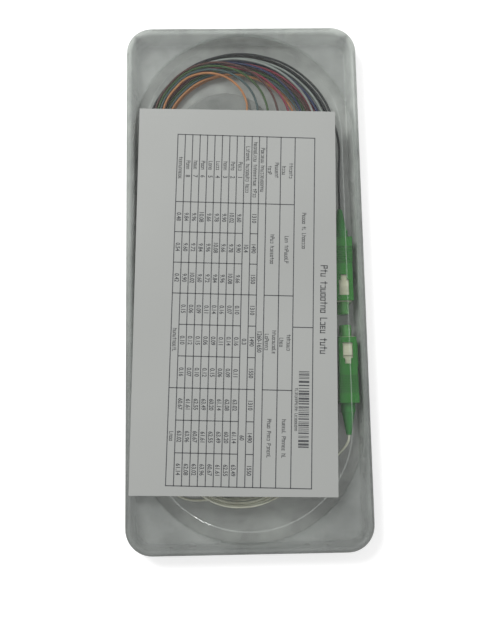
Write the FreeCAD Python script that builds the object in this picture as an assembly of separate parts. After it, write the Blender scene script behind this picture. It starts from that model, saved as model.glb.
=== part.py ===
import FreeCAD, Part
import math
import os
from FreeCAD import Vector

# A 1 x 8 fibre splitter with nine plugged leads, coiled in a clear hinged pack.
# Millimetres. The pack lies on its back: X is its width, Y its length, +Z is up.
# The origin is on the table, under the middle of the pack.

# Pack: two thermoformed shells that meet at their flanges.
PACK_WIDTH = 92.0
PACK_LENGTH = 206.0
PACK_CORNER = 10.0
BASE_FILM = 0.4
LID_FILM = 0.35
FLANGE_WIDTH = 1.7
FLANGE_TOP = 7.6
WALL_DRAFT = 1.3
FILM_BEND = 1.0
DOME_SIDE_MARGIN = 2.5
DOME_END_MARGIN = 3.5
DOME_DRAFT = 1.2
DOME_HEIGHT = 4.6
DOME_SHOULDER = 5.2
DOME_STEP = 0.4
HUB_DRAFT = 0.8
HUB_HEIGHT = 3.6

# Printed sheet that lies on the lid.
SHEET_WIDTH = 76.5
SHEET_LENGTH = 148.0
SHEET_THICKNESS = 0.15
SHEET_CENTRE = (-4.05, -7.7)
SHEET_TURN = -1.5

# Leads: tight-buffered fibre, laid in lanes side by side and in levels.
LEADS = ("black", "white", "blue", "red", "brown", "green", "slate", "orange")
LEAD_DIAMETER = 0.9
LEAD_GAP = 0.07
LEAD_BORE_GAP = 0.05
LEAD_REST_GAP = 0.05
COIL_STEP_DEG = 30
STEP_START_DEG = 60

# Upper coil, of the eight output leads. All its circles touch where leads leave it.
UPPER_COIL_X = -1.2
UPPER_SIDE_GAP = 3.25
UPPER_END_GAP = 5.5
UPPER_TURNS = 3
FAN = (0.2, 0.4, 0.6)
LEAVES_DEG = 135
UPPER_HUB_OFFSET = (-5.8, 1.0)
UPPER_HUB_INSET = 17.2
EXIT_SHARES = (1.027, 0.823, 0.687, 0.550, 0.414, 0.305, 0.196, 0.087)

# The inner leads change places with the outer ones on the last turn.
OUTER_GROUP = 4
RISES_DEG = (90, 150)
SWINGS_DEG = (135, 225)
EXIT_RISES_DEG = (-105, -45)

# Straight stretches of an output lead, from the tube and before the boot.
FEED_STRAIGHT = 3.0
FEED_DROP = 15.0
FEED_REACH = 27.0
BOOT_STRAIGHT = 3.0
BOOT_DROP = 14.0

# Lower coil, of the input lead.
LOWER_COIL_X = -3.5
LOWER_END_GAP = 13.05
LOWER_COIL_RADII = (24.6, 23.1, 24.2, 22.2, 23.6, 21.4)
LOWER_HUB_INSET = 2.15

# Bends of the input lead by hand: from its boot to the coil, and from the coil to the tube.
BOOT_BENDS = ((0.0, -2.8, 0.0), (-4.2, -7.0, 0.2))
COIL_MEETS = (-14.0, -16.0)
COIL_STARTS_DEG = -60
TUBE_BENDS = ((12.0, -27.0, 0.0), (2.0, -17.0, 0.6))
TUBE_STRAIGHT = 5.0

# Square push-pull connector. Its window faces up; its key faces -X or +X.
GRIP_LENGTH = 25.0
GRIP_WIDTH = 7.4
GRIP_HEIGHT = 9.0
GRIP_WALL = 0.8
GRIP_TRAVEL = 1.2
SLIDE_GAP = 0.05
WINDOW_WIDTH = 3.8
WINDOW_FROM = 2.1
WINDOW_LENGTH = 6.0
NOTCH_WIDTH = 2.4
NOTCH_LENGTH = 2.1
LATCH_LENGTH = 3.6
LATCH_RAMP = 2.2
LATCH_SIDE_GAP = 0.15
LATCH_PLAY = 0.1
LATCH_BELOW_GRIP = 0.2
LATCH_EDGE = 0.1
RIB_COUNT = 6
RIB_PITCH = 0.93
RIBS_FROM = 15.4
RIB_HEAD_GAP = 0.8
TAIL_LENGTH = 3.8
TAIL_STEP = 0.25
KEY_WIDTH = 2.4
KEY_HEIGHT = 0.75
KEY_LENGTH = 9.0
KEY_FROM = 2.0
FRAME_LENGTH = 19.3
FRAME_LEAD = 0.2
FRAME_BORE = 4.6
FRAME_WEB = 1.0
FERRULE_DIAMETER = 2.5
FERRULE_LENGTH = 10.5
FERRULE_LEAD = 2.4
FERRULE_TIP_DEG = 8.0
FERRULE_FLANGE = 4.4
FERRULE_FLANGE_LENGTH = 2.0
FERRULE_TUBE = 1.9
CAP_DIAMETER = 4.8
CAP_LENGTH = 7.0
CAP_SHOWS = 5.0
CAP_WALL = 0.7
CAP_ROUND = 0.6
CAP_SEAT = 3.9
CAP_BORE_GAP = 0.03
SPRING_WIRE = 0.4
SPRING_COILS = 6
SPRING_DIAMETER = 3.6
STOP_LENGTH = 9.0
STOP_HEAD = 3.0
STOP_NECK = 3.0
COLLAR_DIAMETER = 5.6
COLLAR_LENGTH = 6.0
COLLAR_SHOWS = 3.5
COLLAR_ROUND = 0.3
BOOT_WIDE = 4.8
BOOT_NARROW = 2.0
BOOT_LENGTH = 8.4

# Where the connectors lie. Two are beside the wall with their caps towards each other.
INPUT_SIDE_GAP = 0.7
BLACK_SIDE_GAP = 1.2
CAP_TIP_GAP = 4.1
CAPS_OVER_COIL = 45.25
HIDDEN_COUNT = 7
HIDDEN_COIL_GAP = 2.55
ROW_GAP = 0.8

# Splitter: a steel tube with a plug in each end and the glass blocks inside.
TUBE_LENGTH = 60.0
TUBE_WIDTH = 7.0
TUBE_HEIGHT = 4.0
TUBE_WALL = 0.3
TUBE_SIDE_GAP = 1.6
TUBE_OVER_COIL = 64.5
PLUG_LENGTH = 4.0
PLUG_GAP = 0.05
HOLE_PITCH = 1.15
HOLES_IN_ROW = 4
CHIP_LENGTH = 14.0
ARRAY_LENGTH = 8.0
ARRAY_WIDTH = 2.6
ARRAY_HEIGHT = 2.0
RIBBON_HEIGHT = 0.3
RIBBON_WIDTH = 2.0
BARE_FIBRE = 0.25

# How far a cutting shape reaches past the face that it opens.
OVER = 1.0

# Pack: what follows from the sizes above.
WALL_INSET = FLANGE_WIDTH + WALL_DRAFT + BASE_FILM
INNER_X = PACK_WIDTH / 2 - WALL_INSET
INNER_Y = PACK_LENGTH / 2 - WALL_INSET
FLOOR_TOP = BASE_FILM
FLOOR_CORNER = PACK_CORNER - FLANGE_WIDTH - WALL_DRAFT
CORNER_X = PACK_WIDTH / 2 - PACK_CORNER
CORNER_Y = PACK_LENGTH / 2 - PACK_CORNER
DOME_RADIUS = PACK_WIDTH / 2 - DOME_SIDE_MARGIN
DOME_STEP_RADIUS = DOME_RADIUS - DOME_SHOULDER
DOME_Y = PACK_LENGTH / 2 - DOME_RADIUS - DOME_END_MARGIN
SHEET_BOTTOM = FLANGE_TOP + DOME_HEIGHT + LID_FILM

# Coils and hubs: what follows.
LEAD_RADIUS = LEAD_DIAMETER / 2
LANE = LEAD_DIAMETER + LEAD_GAP
FIRST_LEVEL = FLOOR_TOP + LEAD_RADIUS + LEAD_REST_GAP
UPPER_COIL_RADIUS = INNER_X + UPPER_COIL_X - UPPER_SIDE_GAP - LEAD_RADIUS
UPPER_COIL = (UPPER_COIL_X, INNER_Y - UPPER_END_GAP - LEAD_RADIUS - UPPER_COIL_RADIUS)
UPPER_HUB = (UPPER_COIL[0] + UPPER_HUB_OFFSET[0], UPPER_COIL[1] + UPPER_HUB_OFFSET[1])
UPPER_HUB_RADIUS = UPPER_COIL_RADIUS - UPPER_HUB_INSET
LOWER_COIL = (LOWER_COIL_X, LOWER_COIL_RADII[0] + LEAD_RADIUS + LOWER_END_GAP - INNER_Y)
LOWER_HUB_RADIUS = min(LOWER_COIL_RADII) - LEAD_RADIUS - LOWER_HUB_INSET

# Connector: what follows.
AXIS_Z = FLOOR_TOP + GRIP_HEIGHT / 2
FRAME_WIDTH = GRIP_WIDTH - 2 * GRIP_WALL - 2 * SLIDE_GAP
FRAME_HEIGHT = GRIP_HEIGHT - 2 * GRIP_WALL - 2 * SLIDE_GAP
FRAME_BACK = FRAME_LENGTH - FRAME_LEAD
CAP_BORE_SEAT = CAP_SEAT + 2 * SLIDE_GAP
FERRULE_BACK = FERRULE_LENGTH - FERRULE_LEAD
STOP_FROM = FRAME_BACK - STOP_HEAD
NECK_END = STOP_FROM + STOP_LENGTH
COLLAR_TO = GRIP_LENGTH + COLLAR_SHOWS
COLLAR_FROM = COLLAR_TO - COLLAR_LENGTH
CONNECTOR_LENGTH = COLLAR_TO + BOOT_LENGTH
CAPPED_LENGTH = CAP_SHOWS + CONNECTOR_LENGTH

# Splitter and connectors: their places.
TUBE_X = TUBE_WIDTH / 2 + TUBE_SIDE_GAP - INNER_X
TUBE_TOP_Y = LOWER_COIL[1] + TUBE_OVER_COIL
TUBE_BOTTOM_Y = TUBE_TOP_Y - TUBE_LENGTH
TUBE_Z = FLOOR_TOP + TUBE_HEIGHT / 2
INNER_FLOOR = FLOOR_TOP + TUBE_WALL
MEETING_Y = LOWER_COIL[1] + CAPS_OVER_COIL
INPUT_X = INNER_X - INPUT_SIDE_GAP - GRIP_WIDTH / 2
INPUT_BOOT_END = MEETING_Y - CAP_TIP_GAP / 2 - CAPPED_LENGTH
BLACK_X = INNER_X - BLACK_SIDE_GAP - GRIP_WIDTH / 2
BLACK_BOOT_END = MEETING_Y + CAP_TIP_GAP / 2 + CAPPED_LENGTH
HIDDEN_LAST_X = TUBE_X + TUBE_WIDTH / 2 + ROW_GAP + KEY_HEIGHT + GRIP_WIDTH / 2
HIDDEN_FIRST_X = BLACK_X - KEY_HEIGHT - ROW_GAP - GRIP_WIDTH
COIL_TOP_Y = LOWER_COIL[1] + LOWER_COIL_RADII[0] + LEAD_RADIUS
HIDDEN_BOOT_END = COIL_TOP_Y + HIDDEN_COIL_GAP + CAPPED_LENGTH


def box(x0, x1, y0, y1, z0, z1):
    """A block between two corners."""
    return Part.makeBox(x1 - x0, y1 - y0, z1 - z0, Vector(x0, y0, z0))


def rod(radius, y0, y1):
    """A round bar along Y."""
    return Part.makeCylinder(radius, y1 - y0, Vector(0, y0, 0), Vector(0, 1, 0))


def cone(radius0, radius1, y0, y1):
    """A tapered round bar along Y."""
    return Part.makeCone(radius0, radius1, y1 - y0, Vector(0, y0, 0), Vector(0, 1, 0))


def edges_along(shape, direction):
    """The shape's edges that run along a direction."""
    return [e for e in shape.Edges if abs(e.tangentAt(e.FirstParameter).dot(direction)) > 0.9]


def rounded_block(x, y, radius, z0, z1):
    """An upright block with half-widths x and y and round corners."""
    block = box(-x, x, -y, y, z0, z1)
    return block.makeFillet(radius, edges_along(block, Vector(0, 0, 1)))


def one_solid(shape):
    """The shape as a single clean solid."""
    return shape.removeSplitter().Solids[0]


def bent_wire(points, radius):
    """Straight runs through the points, joined by tangent arcs of one radius."""
    edges = []
    start = points[0]
    for before, corner, after in zip(points, points[1:], points[2:]):
        back = (before - corner).normalize()
        ahead = (after - corner).normalize()
        half = back.getAngle(ahead) / 2
        first = corner + back * (radius / math.tan(half))
        last = corner + ahead * (radius / math.tan(half))
        middle = corner + (back + ahead).normalize() * (radius / math.sin(half) - radius)
        edges.append(Part.LineSegment(start, first).toShape())
        edges.append(Part.Arc(first, middle, last).toShape())
        start = last
    edges.append(Part.LineSegment(start, points[-1]).toShape())
    return Part.Wire(edges)


def film_profile(points, thickness):
    """The section of a formed film: a bent line in XZ, given a thickness on its upper side."""
    line = bent_wire([Vector(r, 0, z) for r, z in points], FILM_BEND)
    return line.makeOffset2D(thickness, 0, True, True)


def swept_rim(profile, x, y):
    """A profile carried round a rectangle with half-widths x and y, turning about its corners."""
    pieces = []
    for corner_x, corner_y, start in ((x, y, 0), (-x, y, 90), (-x, -y, 180), (x, -y, 270)):
        quarter = profile.revolve(Vector(), Vector(0, 0, 1), 90)
        quarter.rotate(Vector(), Vector(0, 0, 1), start)
        quarter.translate(Vector(corner_x, corner_y, 0))
        pieces.append(quarter)
    for turn, reach, half in ((0, x, y), (90, y, x), (180, x, y), (270, y, x)):
        side = profile.extrude(Vector(0, 2 * half, 0))
        side.translate(Vector(reach, -half, 0))
        side.rotate(Vector(), Vector(0, 0, 1), turn)
        pieces.append(side)
    return pieces[0].multiFuse(pieces[1:])


# ---------------------------------------------------------------- pack

def hub(centre, radius):
    """The hollow round boss that a coil lies round, as a solid and the space under it."""
    outside = Part.makeCone(radius + HUB_DRAFT, radius, HUB_HEIGHT, Vector(centre[0], centre[1], 0))
    top = max(outside.Edges, key=lambda e: e.CenterOfMass.z)
    outside = outside.makeFillet(FILM_BEND, [top])
    inside = outside.translated(Vector(0, 0, -BASE_FILM))
    return outside, inside


def tray_base():
    """The lower shell: floor, drafted walls, flange and a hub for each coil."""
    wall_top = FLOOR_CORNER + WALL_DRAFT
    flange = FLANGE_TOP - BASE_FILM
    points = [(0, 0), (FLOOR_CORNER, 0), (wall_top, flange), (PACK_CORNER, flange)]
    rim = swept_rim(film_profile(points, BASE_FILM), CORNER_X, CORNER_Y)
    floor = box(-CORNER_X, CORNER_X, -CORNER_Y, CORNER_Y, 0, BASE_FILM)
    shell = rim.fuse(floor)
    for centre, radius in ((UPPER_HUB, UPPER_HUB_RADIUS), (LOWER_COIL, LOWER_HUB_RADIUS)):
        outside, inside = hub(centre, radius)
        shell = shell.fuse(outside).cut(inside)
    return one_solid(shell)


def tray_lid():
    """The upper shell: flat flange and a stadium dome with a shallow raised top."""
    flange_to = FLANGE_TOP + LID_FILM
    plate = rounded_block(PACK_WIDTH / 2, PACK_LENGTH / 2, PACK_CORNER, FLANGE_TOP, flange_to)
    reach = DOME_RADIUS + FILM_BEND
    low = FLANGE_TOP - OVER
    high = flange_to + OVER
    opening = box(-reach, reach, -DOME_Y, DOME_Y, low, high)
    for y in (DOME_Y, -DOME_Y):
        opening = opening.fuse(Part.makeCylinder(reach, high - low, Vector(0, y, low)))
    top = FLANGE_TOP + DOME_HEIGHT
    points = [
        (reach, FLANGE_TOP),
        (DOME_RADIUS, FLANGE_TOP),
        (DOME_RADIUS - DOME_DRAFT, top - DOME_STEP),
        (DOME_STEP_RADIUS + DOME_STEP, top - DOME_STEP),
        (DOME_STEP_RADIUS, top),
        (0, top),
    ]
    return one_solid(dome(dome_profile(points)).fuse(plate.cut(opening)))


def dome_profile(points):
    """The section of the lid's dome, from its foot to its middle, as a face."""
    under = [Vector(r, 0, z) for r, z in points]
    over = [Vector(r, 0, z) for r, z in raised(points)]
    return Part.Face(Part.makePolygon(under + over[::-1] + under[:1]))


def raised(points):
    """The same line one film thickness outside the first."""
    foot, wall, shoulder, step_foot, step_top, centre = points
    return [
        (foot[0], foot[1] + LID_FILM),
        (wall[0] + LID_FILM, wall[1] + LID_FILM),
        (shoulder[0] + LID_FILM, shoulder[1] + LID_FILM),
        (step_foot[0] + LID_FILM / 2, step_foot[1] + LID_FILM),
        (step_top[0] + LID_FILM / 2, step_top[1] + LID_FILM),
        (centre[0], centre[1] + LID_FILM),
    ]


def dome(profile):
    """The dome's section carried round both ends and along both sides."""
    parts = []
    for y, start in ((DOME_Y, 0), (-DOME_Y, 180)):
        end = profile.revolve(Vector(), Vector(0, 0, 1), 180)
        end.rotate(Vector(), Vector(0, 0, 1), start)
        end.translate(Vector(0, y, 0))
        parts.append(end)
        side = profile.extrude(Vector(0, 2 * DOME_Y, 0))
        side.translate(Vector(0, -DOME_Y, 0))
        side.rotate(Vector(), Vector(0, 0, 1), start)
        parts.append(side)
    return parts[0].multiFuse(parts[1:])


def data_sheet():
    """The printed test sheet, flat on the lid's raised top."""
    half_x = SHEET_WIDTH / 2
    half_y = SHEET_LENGTH / 2
    sheet = box(-half_x, half_x, -half_y, half_y, SHEET_BOTTOM, SHEET_BOTTOM + SHEET_THICKNESS)
    sheet.rotate(Vector(), Vector(0, 0, 1), SHEET_TURN)
    sheet.translate(Vector(SHEET_CENTRE[0], SHEET_CENTRE[1], 0))
    return sheet


# ---------------------------------------------------------------- connector
# Modelled along Y: the front face of the grip is at y = 0 and the boot is on the +Y side.

def grip():
    """The outer sleeve that the fingers pull: windows, key, ribs and a wider tail."""
    x = GRIP_WIDTH / 2
    z = GRIP_HEIGHT / 2
    waist_x = x - TAIL_STEP
    waist_z = z - TAIL_STEP
    sleeve = box(-waist_x, waist_x, 0, GRIP_LENGTH, -waist_z, waist_z)
    sleeve = sleeve.fuse(box(-waist_x, waist_x, 0, RIBS_FROM - RIB_HEAD_GAP, -z, z))
    sleeve = sleeve.fuse(box(-x, x, GRIP_LENGTH - TAIL_LENGTH, GRIP_LENGTH, -z, z))
    for number in range(RIB_COUNT):
        y = RIBS_FROM + number * RIB_PITCH
        sleeve = sleeve.fuse(box(-x, x, y, y + RIB_PITCH / 2, -z, z))
    key_to = KEY_FROM + KEY_LENGTH
    sleeve = sleeve.fuse(box(-x - KEY_HEIGHT, 0, KEY_FROM, key_to, -KEY_WIDTH / 2, KEY_WIDTH / 2))
    inner_x = x - GRIP_WALL
    inner_z = z - GRIP_WALL
    sleeve = sleeve.cut(box(-inner_x, inner_x, -OVER, GRIP_LENGTH + OVER, -inner_z, inner_z))
    window_to = WINDOW_FROM + WINDOW_LENGTH
    notch_to = window_to + NOTCH_LENGTH
    high = z + OVER
    sleeve = sleeve.cut(box(-WINDOW_WIDTH / 2, WINDOW_WIDTH / 2, WINDOW_FROM, window_to, -high, high))
    sleeve = sleeve.cut(box(-NOTCH_WIDTH / 2, NOTCH_WIDTH / 2, window_to, notch_to, -high, high))
    return one_solid(sleeve)


def latch(side):
    """The wedge that stands in a window: it ramps up from the front and ends square."""
    z = FRAME_HEIGHT / 2
    top = GRIP_HEIGHT / 2 - LATCH_BELOW_GRIP
    half = WINDOW_WIDTH / 2 - LATCH_SIDE_GAP
    start = WINDOW_FROM + GRIP_TRAVEL + LATCH_PLAY
    end = start + LATCH_LENGTH
    outline = [
        Vector(-half, start, 0),
        Vector(-half, start, side * (z + LATCH_EDGE)),
        Vector(-half, start + LATCH_RAMP, side * top),
        Vector(-half, end, side * top),
        Vector(-half, end, 0),
    ]
    return Part.Face(Part.makePolygon(outline + outline[:1])).extrude(Vector(2 * half, 0, 0))


def plug_frame():
    """The inner body that latches: a bored block with a wedge in each window."""
    x = FRAME_WIDTH / 2
    z = FRAME_HEIGHT / 2
    block = box(-x, x, -FRAME_LEAD, FRAME_BACK, -z, z).fuse([latch(1), latch(-1)])
    shoulder = FERRULE_BACK - FERRULE_FLANGE_LENGTH
    front_bore = rod(CAP_BORE_SEAT / 2, -FRAME_LEAD - OVER, shoulder - FRAME_WEB)
    back_bore = rod(FRAME_BORE / 2, shoulder, FRAME_BACK + OVER)
    passage = rod(FERRULE_DIAMETER / 2 + SLIDE_GAP, 0, FRAME_BACK)
    return one_solid(block.cut([front_bore, back_bore, passage]))


def ferrule():
    """The ceramic pin with its angled tip, in its metal flange and tail tube."""
    pin = rod(FERRULE_DIAMETER / 2, -FERRULE_LEAD, FERRULE_BACK)
    wide = FERRULE_DIAMETER
    tip = box(-wide, wide, -wide, 0, -wide, wide)
    tip.translate(Vector(0, -FERRULE_LEAD, 0))
    tip.rotate(Vector(0, -FERRULE_LEAD, 0), Vector(0, 0, 1), FERRULE_TIP_DEG)
    flange = rod(FERRULE_FLANGE / 2, FERRULE_BACK - FERRULE_FLANGE_LENGTH, FERRULE_BACK)
    tail = rod(FERRULE_TUBE / 2, FERRULE_BACK, COLLAR_FROM)
    bore = rod(LEAD_RADIUS + LEAD_BORE_GAP, FERRULE_BACK, COLLAR_FROM + OVER)
    return one_solid(pin.cut(tip).fuse([flange, tail]).cut(bore))


def spring():
    """The coil spring behind the ferrule's flange, its helix made of short tangent arcs."""
    steps = 8
    half_step = math.pi / steps
    pitch = (STOP_FROM - FERRULE_BACK - SPRING_WIRE) / SPRING_COILS
    reach = SPRING_DIAMETER / 2 / math.cos(half_step)
    points = []
    for number in range(SPRING_COILS * steps + 1):
        angle = 2 * half_step * number
        y = FERRULE_BACK + SPRING_WIRE / 2 + pitch * number / steps
        points.append(Vector(reach * math.cos(angle), y, reach * math.sin(angle)))
    return tube_along(points, SPRING_WIRE)


def stop_ring():
    """The rear body that closes the frame: a head in the bore and a neck for the boot."""
    head_end = STOP_FROM + STOP_HEAD
    head = rod(FRAME_BORE / 2, STOP_FROM, head_end)
    neck = rod(STOP_NECK / 2, head_end, NECK_END)
    bore = rod(FERRULE_TUBE / 2 + SLIDE_GAP, STOP_FROM - OVER, NECK_END + OVER)
    return one_solid(head.fuse(neck).cut(bore))


def boot():
    """The soft strain relief: a collar over the neck, a round shoulder and a tapered sleeve."""
    collar = rod(COLLAR_DIAMETER / 2, COLLAR_FROM, COLLAR_TO)
    shoulder = max(collar.Edges, key=lambda e: e.CenterOfMass.y)
    collar = collar.makeFillet(COLLAR_ROUND, [shoulder])
    sleeve = cone(BOOT_WIDE / 2, BOOT_NARROW / 2, COLLAR_TO, CONNECTOR_LENGTH)
    neck_bore = rod(STOP_NECK / 2 + SLIDE_GAP, COLLAR_FROM - OVER, NECK_END)
    lead_bore = rod(LEAD_RADIUS + LEAD_BORE_GAP, COLLAR_FROM, CONNECTOR_LENGTH + OVER)
    return one_solid(collar.fuse(sleeve).cut([neck_bore, lead_bore]))


def dust_cap():
    """The clear cap over the ferrule, its tail plugged into the frame."""
    front = -CAP_SHOWS
    knob = rod(CAP_DIAMETER / 2, front, -FRAME_LEAD)
    rim = min(knob.Edges, key=lambda e: e.CenterOfMass.y)
    knob = knob.makeFillet(CAP_ROUND, [rim])
    back = front + CAP_LENGTH
    tail = rod(CAP_SEAT / 2, -FRAME_LEAD, back)
    bore = rod(FERRULE_DIAMETER / 2 + CAP_BORE_GAP, front + CAP_WALL, back + OVER)
    return one_solid(knob.fuse(tail).cut(bore))


def placed(shape, x, boot_end, towards):
    """A connector piece moved to its place: the boot's end at boot_end, pointing to +Y or -Y."""
    moved = shape.copy()
    if towards < 0:
        moved.rotate(Vector(), Vector(0, 0, 1), 180)
    moved.translate(Vector(x, boot_end - towards * CONNECTOR_LENGTH, AXIS_Z))
    return moved


def output_places():
    """The X and boot end of each output connector, in the order of the leads."""
    pitch = (HIDDEN_FIRST_X - HIDDEN_LAST_X) / (HIDDEN_COUNT - 1)
    hidden = [(HIDDEN_FIRST_X - number * pitch, HIDDEN_BOOT_END) for number in range(HIDDEN_COUNT)]
    return [(BLACK_X, BLACK_BOOT_END)] + hidden


def connectors():
    """All pieces of all nine connectors. Only the two in view have their inner pieces apart."""
    outer = {"grip": grip(), "frame": plug_frame(), "boot": boot(), "cap": dust_cap()}
    inner = {"ferrule": ferrule(), "spring": spring(), "stop_ring": stop_ring()}
    joined = dict(outer)
    joined["frame"] = outer["frame"].fuse([inner["ferrule"], inner["stop_ring"]])
    whole = dict(outer)
    whole.update(inner)
    nodes = {}
    for piece, shape in whole.items():
        nodes["input_" + piece] = placed(shape, INPUT_X, INPUT_BOOT_END, -1)
    for name, (x, boot_end) in zip(LEADS, output_places()):
        pieces = whole if name == LEADS[0] else joined
        for piece, shape in pieces.items():
            nodes[name + "_" + piece] = placed(shape, x, boot_end, 1)
    return nodes


# ---------------------------------------------------------------- splitter

def tube_block(inset, y0, y1, radius):
    """A block with the tube's outline less an inset, its long edges rounded."""
    x = TUBE_WIDTH / 2 - inset
    z = TUBE_HEIGHT / 2 - inset
    block = box(TUBE_X - x, TUBE_X + x, y0, y1, TUBE_Z - z, TUBE_Z + z)
    return block.makeFillet(radius, edges_along(block, Vector(0, 1, 0)))


def end_plug(y0, y1, holes):
    """A plug that closes the steel tube, with a hole for each lead."""
    plug = tube_block(TUBE_WALL + PLUG_GAP, y0, y1, TUBE_WALL)
    for hole_x, hole_z in holes:
        hole = rod(LEAD_RADIUS + LEAD_BORE_GAP, y0 - OVER, y1 + OVER)
        hole.translate(Vector(hole_x, 0, hole_z))
        plug = plug.cut(hole)
    return plug


def output_holes():
    """Where the eight leads leave the tube: two rows, the lower one first."""
    middle = (HOLES_IN_ROW - 1) / 2
    columns = [TUBE_X + (number - middle) * HOLE_PITCH for number in range(HOLES_IN_ROW)]
    low = [(x, TUBE_Z - HOLE_PITCH / 2) for x in columns]
    high = [(x, TUBE_Z + HOLE_PITCH / 2) for x in columns]
    return low + high


def glass_block(y0, y1):
    """A polished glass block that lies on the tube's floor."""
    x = ARRAY_WIDTH / 2
    return box(TUBE_X - x, TUBE_X + x, y0, y1, INNER_FLOOR, INNER_FLOOR + ARRAY_HEIGHT)


def splitter():
    """The steel tube, its plugs, and the glass chip between two fibre arrays."""
    outer = tube_block(0, TUBE_BOTTOM_Y, TUBE_TOP_Y, 2 * TUBE_WALL)
    inner = tube_block(TUBE_WALL, TUBE_BOTTOM_Y - OVER, TUBE_TOP_Y + OVER, TUBE_WALL)
    nodes = {"splitter_tube": outer.cut(inner)}
    low_y = TUBE_BOTTOM_Y + PLUG_LENGTH
    high_y = TUBE_TOP_Y - PLUG_LENGTH
    nodes["input_end_plug"] = end_plug(TUBE_BOTTOM_Y, low_y, [(TUBE_X, TUBE_Z)])
    nodes["output_end_plug"] = end_plug(high_y, TUBE_TOP_Y, output_holes())
    chip_low = (low_y + high_y - CHIP_LENGTH) / 2
    chip_high = chip_low + CHIP_LENGTH
    nodes["splitter_chip"] = glass_block(chip_low, chip_high)
    core_z = INNER_FLOOR + ARRAY_HEIGHT / 2
    core = rod(BARE_FIBRE / 2, low_y, chip_low - ARRAY_LENGTH)
    core.translate(Vector(TUBE_X, 0, core_z))
    nodes["input_fibre_array"] = one_solid(glass_block(chip_low - ARRAY_LENGTH, chip_low).fuse(core))
    left = TUBE_X - RIBBON_WIDTH / 2
    ribbon_z = RIBBON_HEIGHT / 2
    ribbon = box(left, left + RIBBON_WIDTH, chip_high, high_y, core_z - ribbon_z, core_z + ribbon_z)
    nodes["output_fibre_array"] = one_solid(glass_block(chip_high, chip_high + ARRAY_LENGTH).fuse(ribbon))
    return nodes


# ---------------------------------------------------------------- leads

def smooth_path(points):
    """Straight runs joined by tangent arcs, each as large as its two runs allow."""
    edges = []
    start = points[0]
    for before, corner, after in zip(points, points[1:], points[2:]):
        back = before - corner
        ahead = after - corner
        cut = 0.45 * min(back.Length, ahead.Length)
        back.normalize()
        ahead.normalize()
        half = back.getAngle(ahead) / 2
        if half > math.radians(89.9):
            continue
        radius = cut * math.tan(half)
        first = corner + back * cut
        last = corner + ahead * cut
        middle = corner + (back + ahead).normalize() * (radius / math.sin(half) - radius)
        edges.append(Part.LineSegment(start, first).toShape())
        edges.append(Part.Arc(first, middle, last).toShape())
        start = last
    edges.append(Part.LineSegment(start, points[-1]).toShape())
    return Part.Wire(edges)


def tube_along(points, diameter):
    """A round bar that follows the points."""
    ring = Part.Wire(Part.Circle(points[0], points[1] - points[0], diameter / 2).toShape())
    return smooth_path(points).makePipeShell([ring], True, False)


def level(number):
    """The height of a lead's centre in a coil's layer."""
    return FIRST_LEVEL + number * LANE


def share(angle, first, last):
    """How far an angle has come from first to last, from 0 to 1."""
    return min(1.0, max(0.0, (angle - first) / (last - first)))


def on_circle(centre, radius, angle, height):
    """The corner of a polygon round a circle, so that its sides touch the circle."""
    reach = radius / math.cos(math.radians(COIL_STEP_DEG / 2))
    turn = math.radians(angle)
    return Vector(centre[0] + reach * math.cos(turn), centre[1] + reach * math.sin(turn), height)


def shifted(radius, smaller):
    """The centre of a smaller circle that touches the coil's circle where leads leave it."""
    turn = math.radians(LEAVES_DEG)
    reach = radius - smaller
    return (UPPER_COIL[0] + reach * math.cos(turn), UPPER_COIL[1] + reach * math.sin(turn))


def stepped(angle):
    """How far a lead has come on its way up or down one layer, on a coil's right side."""
    return share(-angle, -STEP_START_DEG, STEP_START_DEG)


def coil_angles(first, last):
    """The polygon's corner angles, clockwise, half a step inside both ends."""
    count = round((first - last) / COIL_STEP_DEG)
    return [first - COIL_STEP_DEG * (number + 0.5) for number in range(count)]


def feed(number, left_x):
    """From the splitter's tube up to the foot of the lead's lane."""
    hole_x, hole_z = output_holes()[number]
    start = TUBE_TOP_Y - PLUG_LENGTH
    dropped = hole_z if number >= OUTER_GROUP else FIRST_LEVEL
    return [
        Vector(hole_x, start, hole_z),
        Vector(hole_x, TUBE_TOP_Y + FEED_STRAIGHT, hole_z),
        Vector(left_x, TUBE_TOP_Y + FEED_DROP, dropped),
        Vector(left_x, TUBE_TOP_Y + FEED_REACH, FIRST_LEVEL),
    ]


def one_turn(number, turn, radius):
    """One turn of an output lead. The inner leads swing outwards over the others on the last."""
    smaller = radius - FAN[turn] * number
    centre = shifted(radius, smaller)
    first = 180 if turn == 0 else LEAVES_DEG
    swings = number >= OUTER_GROUP and turn == UPPER_TURNS - 1
    points = []
    for angle in coil_angles(first, LEAVES_DEG - 360):
        corner = on_circle(centre, smaller, angle, level(turn + stepped(angle)))
        if swings:
            corner.z += LANE * share(-angle, *RISES_DEG)
            away = Vector(corner.x - UPPER_COIL[0], corner.y - UPPER_COIL[1], 0).normalize()
            corner += away * (OUTER_GROUP * LANE * share(-angle, *SWINGS_DEG))
        points.append(corner)
    return points


def way_out(number, radius):
    """From the coil's upper left, on a circle of the lead's own, down to its boot."""
    exit_reach = UPPER_COIL_RADIUS * EXIT_SHARES[number]
    cosine = math.cos(math.radians(LEAVES_DEG))
    smaller = (exit_reach - radius * cosine) / (1 - cosine)
    centre = shifted(radius, smaller)
    layers = UPPER_TURNS + (number >= OUTER_GROUP)
    points = []
    for angle in coil_angles(LEAVES_DEG, -COIL_STEP_DEG / 2):
        height = level(layers + share(-angle, *EXIT_RISES_DEG))
        points.append(on_circle(centre, smaller, angle, height))
    x, boot_end = output_places()[number]
    points.append(Vector(x, boot_end + BOOT_DROP, height))
    points.append(Vector(x, boot_end + BOOT_STRAIGHT, AXIS_Z))
    points.append(Vector(x, boot_end - BOOT_LENGTH, AXIS_Z))
    return points


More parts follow.
